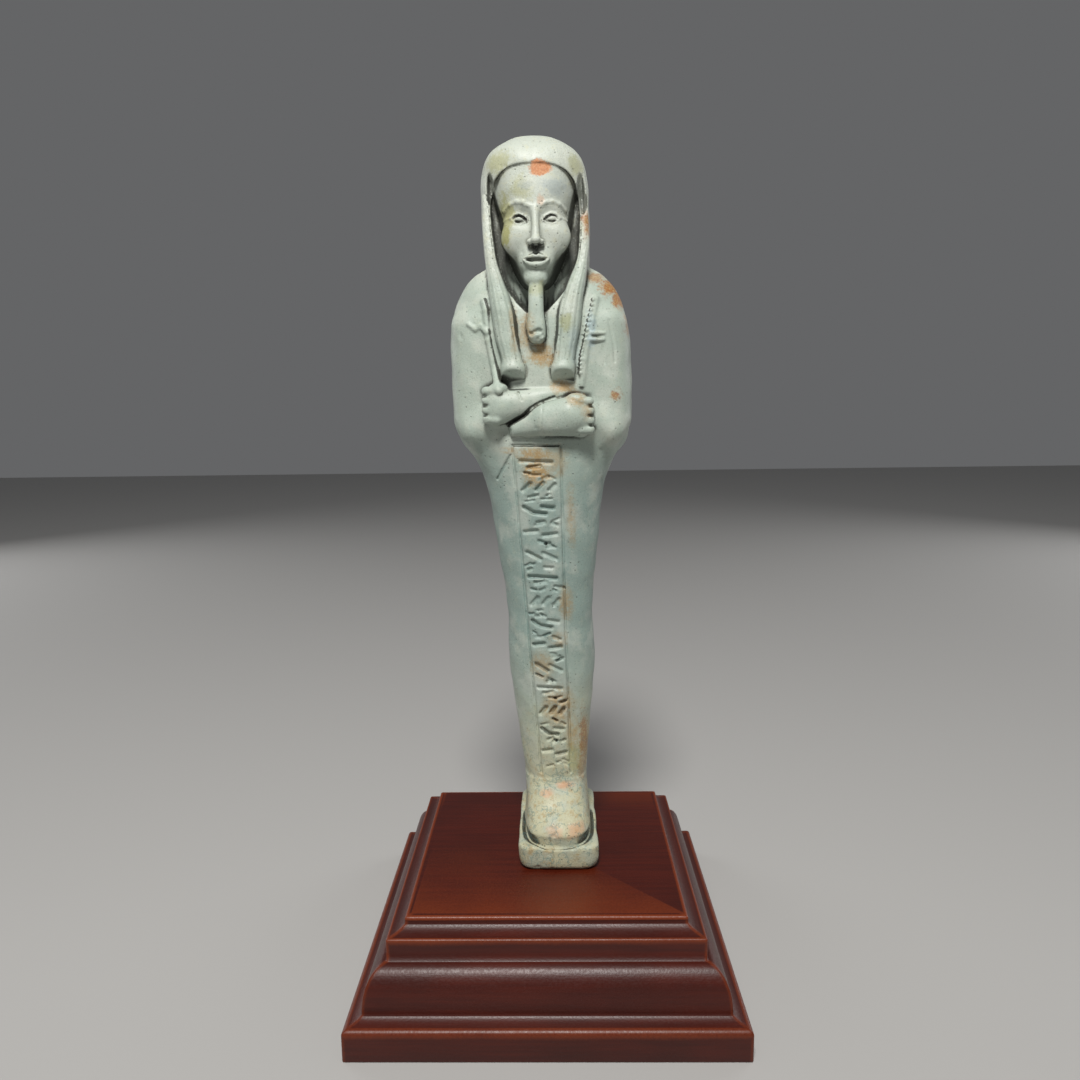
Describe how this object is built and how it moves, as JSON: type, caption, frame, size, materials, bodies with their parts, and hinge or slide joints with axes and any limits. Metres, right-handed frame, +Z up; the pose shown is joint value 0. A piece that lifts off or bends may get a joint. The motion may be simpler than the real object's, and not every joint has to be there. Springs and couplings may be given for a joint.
{
  "type": "ushabti figurine",
  "caption": "Mummiform faience figurine with crossed hands, striped wig and a column of marks, standing on a square moulded wooden display stand.",
  "frame": {"origin": "middle of the stand's underside", "axes": "+Z up along the figure, -Y the way the figure faces, +X to its left hand"},
  "size_m": [0.0832, 0.0832, 0.1897],
  "materials": {
    "faience": "worn satin glaze, pale blue-green faience with cream and ochre stains",
    "lacquered_wood": "dark red-brown stain under satin lacquer, worn orange on the edges"
  },
  "bodies": {
    "root": {"ushabti": "faience", "display_stand": "lacquered_wood"}
  },
  "joints": []
}
